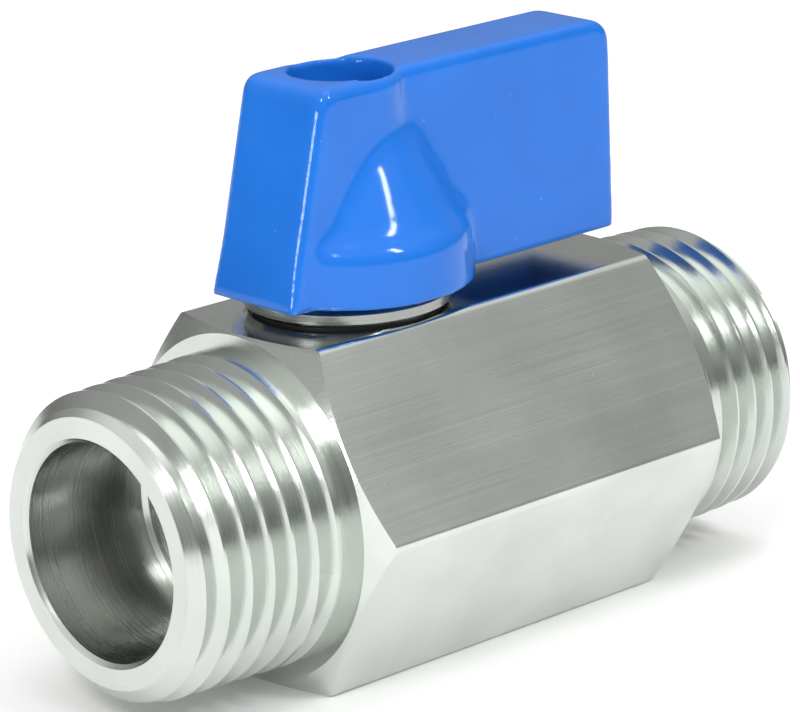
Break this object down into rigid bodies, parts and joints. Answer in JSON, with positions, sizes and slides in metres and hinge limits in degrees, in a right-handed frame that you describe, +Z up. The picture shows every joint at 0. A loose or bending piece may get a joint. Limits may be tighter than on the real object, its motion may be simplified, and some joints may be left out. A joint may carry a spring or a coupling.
{
  "type": "ball valve",
  "caption": "Mini ball valve with a hexagon body, male taper pipe threads at both ends and a short lever handle over the stem, shown open",
  "frame": {"origin": "the middle of the bottom flat of the hexagon, under the middle of the valve's length, which is the bottom centre of its bounding box", "axes": "+X along the flow from the inlet face to the outlet face, +Z up the stem towards the handle, +Y across, with the valve open and the handle along +X"},
  "size_m": [0.0558, 0.0272, 0.0398],
  "materials": {
    "plated_brass": "nickel plated brass, turned and brushed",
    "chromed_ball": "hard chrome plated brass, polished",
    "ptfe": "white PTFE, waxy",
    "seal_rubber": "black nitrile rubber",
    "blue_handle": "glossy blue enamel on a zinc casting",
    "zinc_steel": "zinc plated steel"
  },
  "bodies": {
    "valve": {"valve_body": "plated_brass", "seat_retainer": "plated_brass", "retainer_o_ring": "seal_rubber", "inlet_seat": "ptfe", "outlet_seat": "ptfe", "thrust_washer": "ptfe", "gland": "plated_brass", "gland_gasket": "seal_rubber"},
    "lever": {"stem": "plated_brass", "lower_stem_o_ring": "seal_rubber", "upper_stem_o_ring": "seal_rubber", "handle": "blue_handle", "flat_washer": "zinc_steel", "spring_washer": "zinc_steel", "handle_screw": "zinc_steel"},
    "ball": {"ball": "chromed_ball"}
  },
  "joints": [
    {"name": "handle_turn", "type": "hinge", "parent": "valve", "child": "lever", "pos_m": [-0.00565, 0, 0.0119], "axis": [0, 0, -1], "range_deg": [0, 90]},
    {"name": "ball_turn", "type": "hinge", "parent": "valve", "child": "ball", "pos_m": [-0.00565, 0, 0.0119], "axis": [0, 0, -1], "range_deg": [0, 90]}
  ],
  "couplings": [
    {"joint": "ball_turn", "follows": "handle_turn", "ratio": 1}
  ]
}
